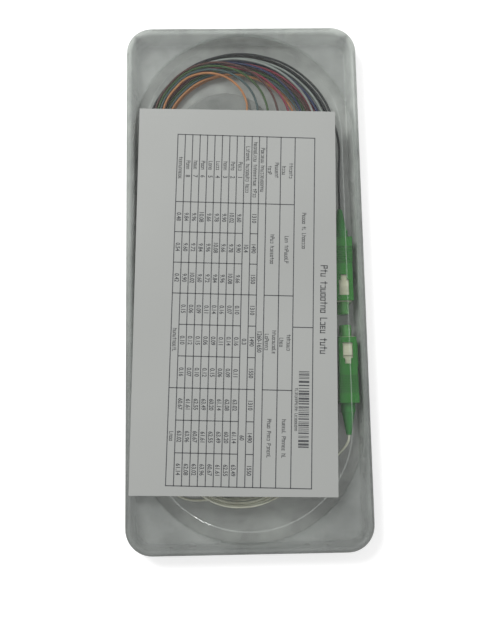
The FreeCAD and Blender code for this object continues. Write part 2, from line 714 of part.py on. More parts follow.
def output_route(number):
    """An output lead: splitter, up the left side, three turns, an arc inwards, its boot."""
    radius = UPPER_COIL_RADIUS - LANE * number
    points = feed(number, UPPER_COIL[0] - radius)
    for turn in range(UPPER_TURNS):
        points += one_turn(number, turn, radius)
    if number >= OUTER_GROUP:
        radius += OUTER_GROUP * LANE
    return points + way_out(number, radius)


def input_route():
    """The input lead: its boot, across to the lower coil, five turns down, the splitter."""
    layers = len(LOWER_COIL_RADII) - 1
    arrives = LEAVES_DEG + COIL_STEP_DEG / 2
    points = [Vector(INPUT_X, INPUT_BOOT_END + BOOT_LENGTH, AXIS_Z)]
    for x, y, z in BOOT_BENDS:
        points.append(Vector(INPUT_X + x, INPUT_BOOT_END + y, AXIS_Z + z))
    points.append(Vector(INPUT_X + COIL_MEETS[0], INPUT_BOOT_END + COIL_MEETS[1], level(layers)))
    for angle in coil_angles(COIL_STARTS_DEG, arrives - 360):
        points.append(on_circle(LOWER_COIL, LOWER_COIL_RADII[0], angle, level(layers)))
    for turn in range(1, layers):
        for angle in coil_angles(arrives, arrives - 360):
            height = level(layers - turn + 1 - stepped(angle))
            points.append(on_circle(LOWER_COIL, LOWER_COIL_RADII[turn], angle, height))
    for angle in coil_angles(arrives, -90):
        points.append(on_circle(LOWER_COIL, LOWER_COIL_RADII[-1], angle, level(1 - stepped(angle))))
    for x, y, z in TUBE_BENDS:
        points.append(Vector(TUBE_X + x, TUBE_BOTTOM_Y + y, FIRST_LEVEL + z))
    points.append(Vector(TUBE_X, TUBE_BOTTOM_Y - TUBE_STRAIGHT, TUBE_Z))
    points.append(Vector(TUBE_X, TUBE_BOTTOM_Y + PLUG_LENGTH, TUBE_Z))
    return points


def leads():
    """The nine leads, with a note of each one's length and tightest bend."""
    routes = {"input_lead": input_route()}
    for number, colour in enumerate(LEADS):
        routes[colour + "_lead"] = output_route(number)
    nodes = {}
    for name, points in routes.items():
        nodes[name] = tube_along(points, LEAD_DIAMETER)
        path = smooth_path(points)
        least = min(e.Curve.Radius for e in path.Edges if isinstance(e.Curve, Part.Circle))
        print(f"{name}: {path.Length:.0f} mm, least radius {least:.1f} mm")
    return nodes


def main():
    """Builds every piece and writes one file for each."""
    os.makedirs("parts", exist_ok=True)
    nodes = {"tray_base": tray_base(), "tray_lid": tray_lid(), "data_sheet": data_sheet()}
    nodes.update(splitter())
    nodes.update(connectors())
    nodes.update(leads())
    for name, shape in nodes.items():
        solids = len(shape.Solids)
        if solids != 1 or not shape.isValid():
            print(f"{name}: {solids} solids, valid {shape.isValid()}")
        shape.exportStep(f"parts/{name}.step")
    print(f"{len(nodes)} pieces")


if __name__ == "__main__":
    main()
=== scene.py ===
import math
import random

import bpy
from mathutils import Matrix, Quaternion, Vector


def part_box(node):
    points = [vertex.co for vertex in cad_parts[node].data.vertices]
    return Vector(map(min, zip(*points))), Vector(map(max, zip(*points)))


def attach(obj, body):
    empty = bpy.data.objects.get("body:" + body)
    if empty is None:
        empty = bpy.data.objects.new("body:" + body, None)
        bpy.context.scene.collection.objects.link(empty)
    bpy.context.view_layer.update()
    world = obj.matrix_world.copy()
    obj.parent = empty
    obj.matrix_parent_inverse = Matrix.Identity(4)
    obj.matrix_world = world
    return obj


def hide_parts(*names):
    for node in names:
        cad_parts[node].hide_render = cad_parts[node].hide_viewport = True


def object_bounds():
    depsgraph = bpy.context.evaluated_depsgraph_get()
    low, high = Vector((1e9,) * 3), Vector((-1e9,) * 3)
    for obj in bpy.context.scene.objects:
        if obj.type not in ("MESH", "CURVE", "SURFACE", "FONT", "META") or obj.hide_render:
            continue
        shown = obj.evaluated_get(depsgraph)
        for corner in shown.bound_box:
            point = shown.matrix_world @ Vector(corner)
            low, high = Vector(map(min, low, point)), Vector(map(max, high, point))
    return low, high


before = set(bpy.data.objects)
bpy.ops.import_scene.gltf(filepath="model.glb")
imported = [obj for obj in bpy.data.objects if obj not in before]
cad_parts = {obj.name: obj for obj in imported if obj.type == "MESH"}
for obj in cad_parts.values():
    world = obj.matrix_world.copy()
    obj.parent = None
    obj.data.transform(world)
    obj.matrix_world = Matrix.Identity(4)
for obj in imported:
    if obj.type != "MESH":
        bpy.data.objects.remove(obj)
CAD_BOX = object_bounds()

bl_info = {
    "name": "Packed Fibre Splitter",
    "version": (1, 0, 0),
    "blender": (4, 5, 0),
    "location": "View3D > Sidebar > Splitter",
    "description": "Dresses a fibre splitter, its leads and its clear pack, and prints its test sheet",
    "category": "Object",
}

MM = 0.001
INK_LIFT = 0.02 * MM
CONNECTORS = ("input", "black", "white", "blue", "red", "brown", "green", "slate", "orange")


# ---------------------------------------------------------------- settings

def colour(name, description, default):
    """A colour property."""
    return bpy.props.FloatVectorProperty(
        name=name, description=description, subtype="COLOR", size=3, min=0, max=1, default=default
    )


def length(name, description, default):
    """A length property, in metres."""
    return bpy.props.FloatProperty(
        name=name, description=description, subtype="DISTANCE", unit="LENGTH", min=0, default=default
    )


def factor(name, description, default):
    """A share from 0 to 1."""
    return bpy.props.FloatProperty(
        name=name, description=description, subtype="FACTOR", min=0, max=1, default=default
    )


def share(name, description, default):
    """A share that may pass 1."""
    return bpy.props.FloatProperty(
        name=name, description=description, subtype="FACTOR", min=0, max=2, default=default
    )


def angle(name, description, degrees):
    """An angle property, given in degrees."""
    return bpy.props.FloatProperty(
        name=name, description=description, subtype="ANGLE", unit="ROTATION", default=math.radians(degrees)
    )


def power(name, description, default):
    """A lamp's power, in watts."""
    return bpy.props.FloatProperty(
        name=name, description=description, subtype="POWER", unit="POWER", min=0, default=default
    )


class PackSettings(bpy.types.PropertyGroup):
    """The two formed shells."""
    base_colour: colour("Base film", "Colour of the hazy lower shell", (0.43, 0.44, 0.425))
    lid_colour: colour("Lid film", "Colour of the haze in the clear upper shell", (0.49, 0.515, 0.5))
    haze: factor("Haze", "How much of the lid's drawn part is haze", 0.012)
    flange_haze: factor("Flange haze", "How much of the lid's thicker flange is haze", 0.19)
    ripple: factor("Ripple", "Depth of the waves in the film", 0.3)
    slant_shine: factor("Shine at a slant", "The most that the lid mirrors at a slant", 0.2)
    # Painted light and shade: the floor, and the walls more strongly, are paler at the output end and
    # darker at the input end, as the key lamp's light falls.
    near_floor: share("Floor, output end", "How pale the lower shell's floor is by the output coil", 0.97)
    far_floor: share("Floor, input end", "How pale its floor is at the other end", 0.86)
    near_wall: share("Walls, output end", "How pale its walls are by the output coil", 2.0)
    far_wall: share("Walls, input end", "How pale its walls are at the other end", 0.6)
    # Painted shade on the tops of the hubs, inside the coils.
    hub_painted_shade: share("Hubs", "How much darker the tops of its hubs are", 0.74)


class SheetSettings(bpy.types.PropertyGroup):
    """The printed sheet and its table, measured from the corner where reading starts."""
    paper_colour: colour("Paper", "Colour of the paper", (0.43, 0.44, 0.425))
    ink_colour: colour("Ink", "Colour of the print", (0.045, 0.047, 0.05))
    turn: angle("Turn", "How far the sheet lies askew on the lid", -1.5)
    askew: angle("Print askew", "How far the print is turned on the paper", -0.8)
    thickness: length("Thickness", "Thickness of the paper", 0.11 * MM)
    margin: length("Margin", "From the paper's first edge to the table", 11.05 * MM)
    heading: length("Heading", "From the paper's upper edge to the table", 8.0 * MM)
    wide_row: length("Wide row", "Height of the row with the bars", 7.66 * MM)
    middle_row: length("Middle row", "Height of the two rows of particulars", 5.5 * MM)
    narrow_row: length("Narrow row", "Height of a row of readings", 2.887 * MM)
    label_column: length("Label column", "Width of the column of labels", 27.0 * MM)
    value_column: length("Value column", "Width of a column of readings", 11.89 * MM)
    rule: length("Rule", "Width of a ruled line", 0.36 * MM)
    figure: length("Figure", "Height of the figures", 1.75 * MM)
    letter: length("Letter", "Height of the small words", 1.35 * MM)


class ConnectorSettings(bpy.types.PropertyGroup):
    """The plugs' plastics."""
    grip_colour: colour("Grip", "Colour of the outer grips", (0.018, 0.185, 0.016))
    boot_colour: colour("Boot", "Colour of the soft boots", (0.035, 0.24, 0.045))
    cap_colour: colour("Cap", "Colour of the clear caps", (0.12, 0.46, 0.1))
    frame_colour: colour("Plug frame", "Colour of the plug frames", (0.62, 0.62, 0.46))
    # The step that sets where the painted shade under the grips' tops falls.
    painted_shade_step: length("Ribs", "Height of the grips' ribs", 0.25 * MM)


class LeadSettings(bpy.types.PropertyGroup):
    """The leads' jackets."""
    input: colour("Input", "Colour of the input lead", (0.9, 0.88, 0.72))
    black: colour("Black", "Colour of the first output lead", (0.012, 0.014, 0.016))
    white: colour("White", "Colour of the second output lead", (0.3, 0.33, 0.31))
    blue: colour("Blue", "Colour of the third output lead", (0.012, 0.022, 0.085))
    red: colour("Red", "Colour of the fourth output lead", (0.26, 0.022, 0.05))
    brown: colour("Brown", "Colour of the fifth output lead", (0.075, 0.024, 0.02))
    green: colour("Green", "Colour of the sixth output lead", (0.035, 0.085, 0.018))
    slate: colour("Slate", "Colour of the seventh output lead", (0.05, 0.09, 0.095))
    orange: colour("Orange", "Colour of the eighth output lead", (0.5, 0.21, 0.08))


class StageSettings(bpy.types.PropertyGroup):
    """The lamps, the floor and the camera."""
    world: bpy.props.FloatProperty(
        name="Fill", description="Strength of the light from all round", min=0, default=0.48
    )
    key: power("Key", "Power of the large lamp", 4.3)
    strip: power("Strip", "Power of the narrow lamp for the film's edges", 3.2)
    lens: bpy.props.FloatProperty(
        name="Lens", description="Focal length", subtype="DISTANCE_CAMERA", unit="CAMERA",
        min=1, default=44.01
    )


# ---------------------------------------------------------------- material tools

NODE_SPACING = 180
RAMP_ENDS = (0.3, 0.7)


class Nodes:
    """A material's node tree, written from left to right."""

    def __init__(self, name):
        self.material = bpy.data.materials.new(name)
        self.material.use_nodes = True
        self.tree = self.material.node_tree
        self.tree.nodes.clear()
        self.count = 0

    def add(self, kind, **attributes):
        """Adds a node to the right of the last one and sets its attributes."""
        node = self.tree.nodes.new(kind)
        node.location = (self.count * NODE_SPACING, 0)
        self.count += 1
        for key, value in attributes.items():
            setattr(node, key, value)
        return node

    def link(self, source, target):
        """Joins two sockets."""
        self.tree.links.new(source, target)

    def feed(self, value, target):
        """Gives a socket what it works on: another socket, or a number or colour of its own."""
        if isinstance(value, bpy.types.NodeSocket):
            self.link(value, target)
        else:
            target.default_value = value

    def finish(self, shader):
        """Joins the last shader to the output."""
        output = self.add("ShaderNodeOutputMaterial")
        self.link(shader, output.inputs["Surface"])
        return self.material

    def place(self):
        """Object coordinates."""
        return self.add("ShaderNodeTexCoord").outputs["Object"]

    def axes(self):
        """Object coordinates, one by one."""
        node = self.add("ShaderNodeSeparateXYZ")
        self.link(self.place(), node.inputs["Vector"])
        return node.outputs

    def noise(self, scale, detail, place=None):
        """A noise, on the object's own coordinates if no others are given."""
        node = self.add("ShaderNodeTexNoise")
        node.inputs["Scale"].default_value = scale
        node.inputs["Detail"].default_value = detail
        self.link(place or self.place(), node.inputs["Vector"])
        return node.outputs["Fac"]

    def cloud(self, factor, rgb, darkest, palest):
        """A colour that a noise makes darker and paler."""
        node = self.add("ShaderNodeValToRGB")
        stops = node.color_ramp.elements
        for stop, position, level in zip(stops, RAMP_ENDS, (darkest, palest)):
            stop.position = position
            stop.color = (*(min(1.0, part * level) for part in rgb), 1)
        self.link(factor, node.inputs["Fac"])
        return node.outputs["Color"]

    def maths(self, operation, *values):
        """A sum on values or sockets."""
        node = self.add("ShaderNodeMath", operation=operation)
        for socket, value in zip(node.inputs, values):
            self.feed(value, socket)
        return node.outputs["Value"]

    def times(self, shade, level):
        """A colour multiplied by a level."""
        node = self.add("ShaderNodeMix", data_type="RGBA", blend_type="MULTIPLY")
        node.inputs["Factor"].default_value = 1.0
        self.feed(shade, node.inputs[6])
        self.link(level, node.inputs[7])
        return node.outputs[2]

    def span(self, factor, low, high, start=0.0, end=1.0):
        """A value carried from one range to another, and held at its ends."""
        node = self.add("ShaderNodeMapRange")
        node.inputs["From Min"].default_value = start
        node.inputs["From Max"].default_value = end
        node.inputs["To Min"].default_value = low
        node.inputs["To Max"].default_value = high
        self.link(factor, node.inputs["Value"])
        return node.outputs["Result"]

    def mix(self, factor, first, second):
        """Two shaders mixed by a factor."""
        node = self.add("ShaderNodeMixShader")
        self.link(factor, node.inputs["Fac"])
        self.link(first, node.inputs[1])
        self.link(second, node.inputs[2])
        return node.outputs["Shader"]

    def bump(self, height, strength, distance):
        """A bumped normal."""
        node = self.add("ShaderNodeBump")
        node.inputs["Strength"].default_value = strength
        node.inputs["Distance"].default_value = distance
        self.link(height, node.inputs["Height"])
        return node.outputs["Normal"]


# How much coarser the patches of colour are than the grain of the skin.
PATCH_SIZE = 12
SKIN_DEPTH = 0.04 * MM


def plastic(name, rgb, rough, grain=900.0, coat=0.0, painted_shade=None):
    """Moulded plastic: a little uneven in colour and gloss, with a fine skin; where painted shade is given,
    it darkens the colour.
    """
    n = Nodes(name)
    skin = n.noise(grain, detail=3.0)
    patches = n.noise(grain / PATCH_SIZE, detail=2.0)
    base = n.cloud(patches, rgb, darkest=0.88, palest=1.12)
    if painted_shade:
        base = n.times(base, painted_shade(n))
    p = n.add("ShaderNodeBsdfPrincipled")
    n.link(base, p.inputs["Base Color"])
    n.link(n.span(skin, rough - 0.06, rough + 0.08), p.inputs["Roughness"])
    n.link(n.bump(skin, strength=0.15, distance=SKIN_DEPTH), p.inputs["Normal"])
    p.inputs["Specular IOR Level"].default_value = 0.3
    p.inputs["Coat Weight"].default_value = coat
    p.inputs["Coat Roughness"].default_value = 0.15
    return n.finish(p.outputs["BSDF"])


# The painted shade's level in the band under a grip's top, and how far under the top, in steps of the
# band's size, it ends and its sides begin.
GROOVE_SHADE = 0.62
GROOVE_END = 0.3
SIDES_FROM = 4
SIDES_TO = 1.5


def painted_groove_shade(n, top, step):
    """The level of a grip's colour: painted shade in a band just under its top, full again on its top and
    lower down its sides.
    """
    height = n.axes()["Z"]
    between = n.span(height, GROOVE_SHADE, 1.0, top - step, top - GROOVE_END * step)
    sides = n.span(height, 1.0, 0.0, top - SIDES_FROM * step, top - SIDES_TO * step)
    return n.maths("MAXIMUM", between, sides)


# The brush marks' scale: fine across a piece, long along it.
BRUSH_SCALE = (4000, 60, 4000)


def metal(name, rgb, rough):
    """Drawn metal, brushed along the tube."""
    n = Nodes(name)
    mapping = n.add("ShaderNodeMapping")
    mapping.inputs["Scale"].default_value = BRUSH_SCALE
    n.link(n.place(), mapping.inputs["Vector"])
    streaks = n.noise(1.0, detail=3.0, place=mapping.outputs["Vector"])
    p = n.add("ShaderNodeBsdfPrincipled")
    n.link(n.cloud(streaks, rgb, darkest=0.85, palest=1.05), p.inputs["Base Color"])
    n.link(n.span(streaks, rough - 0.05, rough + 0.1), p.inputs["Roughness"])
    n.link(n.bump(streaks, strength=0.1, distance=0.02 * MM), p.inputs["Normal"])
    p.inputs["Metallic"].default_value = 1.0
    return n.finish(p.outputs["BSDF"])


# In from the pack's outline: where its walls, with their painted light and shade, pass into the floor, and
# where the painted shade on the hubs sets in.
WALL_FOOT = (2.4 * MM, 4.2 * MM)
SHADE_ONSET = (3.0 * MM, 6.0 * MM)
# The heights between which a hub's side passes into its top, where the painted shade on its top sets in.
HUB_EDGE = (2.6 * MM, 3.3 * MM)
# The part of a noise's range that the film's mottling uses.
MOTTLE = (0.32, 0.68)


def from_outline(n, axes):
    """How far a point lies in from the pack's outline."""
    gaps = []
    for axis, reach in zip("XY", CAD_BOX[1]):
        gaps.append(n.maths("SUBTRACT", reach, n.maths("ABSOLUTE", axes[axis])))
    return n.maths("MINIMUM", *gaps)


def base_film(settings):
    """The lower shell: hazy film, with painted shade on the hubs' tops, and painted light and shade that
    make it paler at the output end and darker at the input end, the walls more so than the floor.
    """
    n = Nodes("hazy_base_film")
    waves = n.noise(42.0, detail=4.0)
    frost = n.noise(150.0, detail=5.0)
    axes = n.axes()
    inwards = from_outline(n, axes)
    # Painted light and shade on the floor and walls: paler towards the output end, darker towards the input
    # end, the walls more so.
    wall = n.span(inwards, 1.0, 0.0, *WALL_FOOT)
    ends = (CAD_BOX[0][1], CAD_BOX[1][1])
    painted_wall_light = n.span(axes["Y"], settings.far_wall, settings.near_wall, *ends)
    floor = n.span(axes["Y"], settings.far_floor, settings.near_floor, *ends)
    painted_wall_lift = n.maths("MULTIPLY", wall, n.maths("SUBTRACT", painted_wall_light, floor))
    level_by_place = n.maths("ADD", floor, painted_wall_lift)
    # Painted shade on the hubs' tops, kept off the walls near the outline.
    painted_hub_shade = n.span(axes["Z"], 1.0, settings.hub_painted_shade, *HUB_EDGE)
    painted_shade_inside_rim = n.maths("MAXIMUM", painted_hub_shade, n.span(inwards, 1.0, 0.0, *SHADE_ONSET))
    patches = n.span(waves, 0.78, 1.2, *MOTTLE)
    specks = n.span(frost, 0.9, 1.09, *MOTTLE)
    mottle = n.maths("MULTIPLY", patches, specks)
    level = n.maths("MULTIPLY", n.maths("MULTIPLY", level_by_place, painted_shade_inside_rim), mottle)
    p = n.add("ShaderNodeBsdfPrincipled")
    n.link(n.times((*settings.base_colour, 1), level), p.inputs["Base Color"])
    n.link(n.span(frost, 0.2, 0.38), p.inputs["Roughness"])
    n.link(n.bump(waves, settings.ripple, distance=1.2 * MM), p.inputs["Normal"])
    p.inputs["IOR"].default_value = 1.5
    p.inputs["Specular IOR Level"].default_value = 0.3
    p.inputs["Alpha"].default_value = 0.94
    return n.finish(p.outputs["BSDF"])


# Where the flange ends and the dome's film is fully drawn, as shares of the pack's height.
DRAWN = (0.63, 0.75)
FILM_TINT = (0.945, 0.953, 0.947, 1)
FILM_SHINE = (0.95, 0.96, 0.95, 1)


def lid_film(settings):
    """The upper shell: clear film that mirrors more at a slant, under a little haze."""
    n = Nodes("clear_lid_film")
    waves = n.noise(24.0, detail=1.0)
    frost = n.noise(160.0, detail=3.0)
    normal = n.bump(waves, settings.ripple, distance=1.6 * MM)
    fresnel = n.add("ShaderNodeFresnel")
    fresnel.inputs["IOR"].default_value = 1.28
    n.link(normal, fresnel.inputs["Normal"])
    gloss = n.add("ShaderNodeBsdfGlossy")
    gloss.inputs["Color"].default_value = FILM_SHINE
    n.link(n.span(frost, 0.05, 0.14), gloss.inputs["Roughness"])
    n.link(normal, gloss.inputs["Normal"])
    clear = n.add("ShaderNodeBsdfTransparent")
    clear.inputs["Color"].default_value = FILM_TINT
    shine = n.span(fresnel.outputs["Fac"], 0.0, settings.slant_shine, 0.0, settings.slant_shine)
    film = n.mix(shine, clear.outputs["BSDF"], gloss.outputs["BSDF"])
    p = n.add("ShaderNodeBsdfPrincipled")
    n.link(n.cloud(frost, settings.lid_colour, darkest=0.95, palest=1.05), p.inputs["Base Color"])
    p.inputs["Roughness"].default_value = 0.6
    ends = [part * CAD_BOX[1][2] for part in DRAWN]
    level_by_place = n.span(n.axes()["Z"], settings.flange_haze, settings.haze, *ends)
    haze = n.maths("MULTIPLY", level_by_place, n.span(frost, 0.6, 1.4))
    return n.finish(n.mix(haze, film, p.outputs["BSDF"]))


def paper(settings):
    """Office paper: a faint cloud and fine fibres."""
    n = Nodes("office_paper")
    patches = n.noise(18.0, detail=2.0)
    fibres = n.noise(2600.0, detail=4.0)
    p = n.add("ShaderNodeBsdfPrincipled")
    n.link(n.cloud(patches, settings.paper_colour, darkest=0.97, palest=1.03), p.inputs["Base Color"])
    n.link(n.span(fibres, 0.78, 0.95), p.inputs["Roughness"])
    n.link(n.bump(fibres, strength=0.2, distance=0.02 * MM), p.inputs["Normal"])
    p.inputs["Specular IOR Level"].default_value = 0.25
    return n.finish(p.outputs["BSDF"])


def ink(settings):
    """Toner: dark, a little patchy."""
    n = Nodes("toner")
    patches = n.noise(1500.0, detail=3.0)
    p = n.add("ShaderNodeBsdfPrincipled")
    n.link(n.cloud(patches, settings.ink_colour, darkest=0.7, palest=1.9), p.inputs["Base Color"])
    n.link(n.span(patches, 0.45, 0.7), p.inputs["Roughness"])
    return n.finish(p.outputs["BSDF"])


def clear_plastic(name, rgb, cover):
    """Tinted see-through plastic."""
    n = Nodes(name)
    patches = n.noise(700.0, detail=2.0)
    p = n.add("ShaderNodeBsdfPrincipled")
    n.link(n.cloud(patches, rgb, darkest=0.85, palest=1.15), p.inputs["Base Color"])
    n.link(n.span(patches, 0.12, 0.28), p.inputs["Roughness"])
    p.inputs["Alpha"].default_value = cover
    return n.finish(p.outputs["BSDF"])


def lead_jacket(name, rgb):
    """A tight jacket: smooth, with a faint cloud along its length."""
    n = Nodes(name)
    patches = n.noise(140.0, detail=3.0)
    skin = n.noise(3000.0, detail=2.0)
    p = n.add("ShaderNodeBsdfPrincipled")
    n.link(n.cloud(patches, rgb, darkest=0.82, palest=1.18), p.inputs["Base Color"])
    n.link(n.span(skin, 0.3, 0.48), p.inputs["Roughness"])
    n.link(n.bump(skin, strength=0.1, distance=0.01 * MM), p.inputs["Normal"])
    p.inputs["Specular IOR Level"].default_value = 0.3
    return n.finish(p.outputs["BSDF"])


def dress(node, material):
    """Gives a carried-over piece its finish."""
    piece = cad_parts[node]
    piece.data.materials.clear()
    piece.data.materials.append(material)


def deselect():
    """Leaves nothing selected."""
    bpy.ops.object.select_all(action="DESELECT")


# ---------------------------------------------------------------- sheet
# The page's own plane: reading runs along +X, lines follow each other along -Y, from the corner.

COLUMNS = 9
PORTS = 8
RANGE_ROW = 3
WAVELENGTH_ROW = 4
LIMIT_ROW = 5
FIRST_PORT_ROW = 6
LAST_ROW = FIRST_PORT_ROW + PORTS
RIGHT_EDGE = COLUMNS + 1
ALL_COLUMNS = tuple(range(1, COLUMNS + 1))
THIRDS = (1, 4, 7)
# The column edges at which each row is divided, from the top row down.
DIVIDED_AT = ((5,), THIRDS, THIRDS, (1,), ALL_COLUMNS, THIRDS) + (ALL_COLUMNS,) * PORTS + ((1, 2, 3, 4, 7),)
# Words that stand in for labels: row, first and last column edge, line of the row, letters in each word.
WORDS = (
    (0, 0, 5, 0.5, (5, 2, 7)),
    (1, 0, 1, 0.26, (7,)), (1, 0, 1, 0.76, (4,)), (1, 1, 4, 0.5, (3, 8)),
    (1, 4, 7, 0.26, (7,)), (1, 4, 7, 0.76, (4,)), (1, 7, 10, 0.5, (6, 6, 2)),
    (2, 0, 1, 0.26, (7,)), (2, 0, 1, 0.76, (4,)), (2, 1, 4, 0.5, (4, 8)),
    (2, 4, 7, 0.26, (10,)), (2, 4, 7, 0.76, (7,)), (2, 7, 10, 0.5, (4, 4, 6)),
    (RANGE_ROW, 0, 1, 0.5, (7, 12)), (WAVELENGTH_ROW, 0, 1, 0.5, (9, 10, 4)),
    (LIMIT_ROW, 0, 1, 0.5, (7, 8, 4)),
    (LAST_ROW, 0, 1, 0.5, (10,)), (LAST_ROW, 4, 7, 0.5, (10,)), (LAST_ROW, 7, 10, 0.5, (4,)),
)
WAVELENGTHS = ("1310", "1490", "1550")
WAVELENGTH_RANGE = "1260-1650"
LIMITS = ("10.4", "0.3", "60")
SPREADS = ("0.48", "0.54", "0.42")
# The lowest reading and the step between readings: loss, polarisation loss, return loss.
READINGS = ((9.6, 0.06), (0.06, 0.013), (60.2, 0.47))
PAPER_GRID = (30, 16)


class Table:
    """Where the table's rows and columns are."""

    def __init__(self, settings):
        self.rows = [-settings.heading]
        heights = [settings.wide_row] + [settings.middle_row] * 2
        heights += [settings.narrow_row] * (len(DIVIDED_AT) - len(heights))
        for height in heights:
            self.rows.append(self.rows[-1] - height)
        self.columns = [settings.margin, settings.margin + settings.label_column]
        for number in range(COLUMNS):
            self.columns.append(self.columns[-1] + settings.value_column)

    def centre(self, row, first, last, line=0.5):
        """The middle of a cell, or of one line in it."""
        x = (self.columns[first] + self.columns[last]) / 2
        return x, self.rows[row] + (self.rows[row + 1] - self.rows[row]) * line


def page_place(settings):
    """The matrix from the page's plane to the sheet's place on the lid, and the sheet's size."""
    low, high = (Vector(corner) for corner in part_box("data_sheet"))
    spread = high - low
    turn = abs(settings.turn)
    width = (spread.x * math.cos(turn) - spread.y * math.sin(turn)) / math.cos(2 * turn)
    height = (spread.y * math.cos(turn) - spread.x * math.sin(turn)) / math.cos(2 * turn)
    middle = (low + high) / 2
    centre = Matrix.Translation((middle.x, middle.y, high.z))
    corner = Matrix.Translation((width / 2, height / 2, 0))
    quarter = Matrix.Rotation(-math.pi / 2, 4, "Z")
    return centre @ Matrix.Rotation(settings.turn, 4, "Z") @ corner @ quarter, width, height


def model_paper(settings, width, height):
    """The sheet of paper: a fine grid, thickened downwards."""
    deselect()
    along, across = PAPER_GRID
    bpy.ops.mesh.primitive_grid_add(x_subdivisions=along, y_subdivisions=across, size=1)
    sheet = bpy.context.object
    sheet.name = "test_sheet"
    bpy.ops.object.mode_set(mode="EDIT")
    bpy.ops.mesh.select_all(action="SELECT")
    bpy.ops.transform.resize(value=(height, width, 1), center_override=(0, 0, 0))
    bpy.ops.transform.translate(value=(height / 2, -width / 2, -INK_LIFT))
    bpy.ops.object.mode_set(mode="OBJECT")
    body = sheet.modifiers.new("Thickness", "SOLIDIFY")
    body.thickness = settings.thickness
    body.offset = -1
    bpy.ops.object.modifier_apply(modifier=body.name)
    return sheet


def model_dash():
    """One printed dash, of unit size. Every ruled line, bar and stroke is a copy of it."""
    deselect()
    bpy.ops.mesh.primitive_plane_add(size=1)
    dash = bpy.context.object
    dash.name = "dash"
    return dash


def stamped(dash, x, y, width, height):
    """A copy of the dash with a size and a centre."""
    copy = bpy.data.objects.new("print", dash.data.copy())
    copy.data.transform(Matrix.Translation((x, y, 0)) @ Matrix.Diagonal((width, height, 1, 1)))
    bpy.context.scene.collection.objects.link(copy)
    return copy


def ruled(dash, table, settings):
    """The table's lines."""
    left = table.columns[0]
    right = table.columns[-1]
    rule = settings.rule
    lines = [stamped(dash, (left + right) / 2, y, right - left + rule, rule) for y in table.rows]
    height = table.rows[0] - table.rows[-1]
    for x in (left, right):
        lines.append(stamped(dash, x, table.rows[0] - height / 2, rule, height))
    for row, edges in enumerate(DIVIDED_AT):
        high = table.rows[row]
        low = table.rows[row + 1]
        for edge in edges:
            lines.append(stamped(dash, table.columns[edge], (high + low) / 2, rule, high - low))
    return lines


# Made-up letters: bars in a cell one wide and one high, as centre x, centre y, across, up.
SMALL_LETTERS = (
    ((0.1, 0.35, 0, 0.7), (0.7, 0.35, 0, 0.7), (0.4, 0.7, 0.6, 0), (0.4, 0, 0.6, 0)),
    ((0.1, 0.35, 0, 0.7), (0.7, 0.3, 0, 0.6), (0.4, 0.7, 0.6, 0)),
    ((0.1, 0.35, 0, 0.7), (0.7, 0.35, 0, 0.7), (0.4, 0, 0.6, 0)),
    ((0.1, 0.35, 0, 0.7), (0.4, 0.7, 0.6, 0), (0.4, 0, 0.6, 0), (0.4, 0.35, 0.5, 0)),
    ((0.7, 0.35, 0, 0.7), (0.4, 0.7, 0.6, 0), (0.4, 0, 0.6, 0)),
)
TALL_LETTERS = (
    ((0.1, 0.5, 0, 1.0), (0.7, 0.35, 0, 0.7), (0.4, 0.7, 0.6, 0)),
    ((0.4, 0.5, 0, 1.0), (0.4, 0.7, 0.6, 0)),
    ((0.1, 0.5, 0, 1.0), (0.7, 0.75, 0, 0.5), (0.4, 1.0, 0.6, 0), (0.4, 0.5, 0.6, 0)),
    ((0.1, 0.5, 0, 1.0), (0.4, 0, 0.6, 0)),
)


# The width of a letter and of its pen, as shares of its height, and how many letters are tall.
LETTER_WIDTH = 0.66
PEN_WIDTH = 0.15
TALL_SHARE = 0.2


def word_strokes(dash, x, y, letters, height, rng):
    """Made-up letters that look like words from afar and spell nothing."""
    wide = LETTER_WIDTH * height
    pen = PEN_WIDTH * height
    start = x - (sum(letters) + len(letters) - 1) * wide / 2
    foot = y - height / 2
    strokes = []
    for count in letters:
        for number in range(count):
            tall = number == 0 or rng.random() < TALL_SHARE
            for bar_x, bar_y, across, up in rng.choice(TALL_LETTERS if tall else SMALL_LETTERS):
                place = (start + bar_x * wide, foot + bar_y * height)
                strokes.append(stamped(dash, *place, across * wide + pen, up * height + pen))
            start += wide
        start += wide
    return strokes


# The stripes, measured from the edge and the top of the cell that they stand in.
STRIPES_FROM = 16.5 * MM
STRIPES_LENGTH = 28.5 * MM
STRIPES_UNDER_TOP = 1.2 * MM
STRIPE_HEIGHT = 3.9 * MM
STRIPE_WIDTHS = (0.25, 0.25, 0.5, 0.8)
STRIPE_GAPS = (0.3, 0.45, 0.7)
CAPTION_UNDER_STRIPES = 0.8 * MM
CAPTION_HEIGHT = 1.1 * MM
CAPTION_WORDS = (12, 9)


def bar_stripes(dash, table, rng):
    """Plain stripes of several widths, with a row of small strokes under them."""
    start = table.columns[DIVIDED_AT[0][0]] + STRIPES_FROM
    end = start + STRIPES_LENGTH
    high = table.rows[0] - STRIPES_UNDER_TOP
    stripes = []
    x = start
    while x < end:
        width = rng.choice(STRIPE_WIDTHS) * MM
        stripes.append(stamped(dash, x + width / 2, high - STRIPE_HEIGHT / 2, width, STRIPE_HEIGHT))
        x += width + rng.choice(STRIPE_GAPS) * MM
    caption_y = high - STRIPE_HEIGHT - CAPTION_UNDER_STRIPES
    stripes += word_strokes(dash, (start + end) / 2, caption_y, CAPTION_WORDS, CAPTION_HEIGHT, rng)
    return stripes


# The figures are a little bolder and narrower than the plain font.
FIGURE_BOLDNESS = 0.022
FIGURE_WIDTH = 0.82


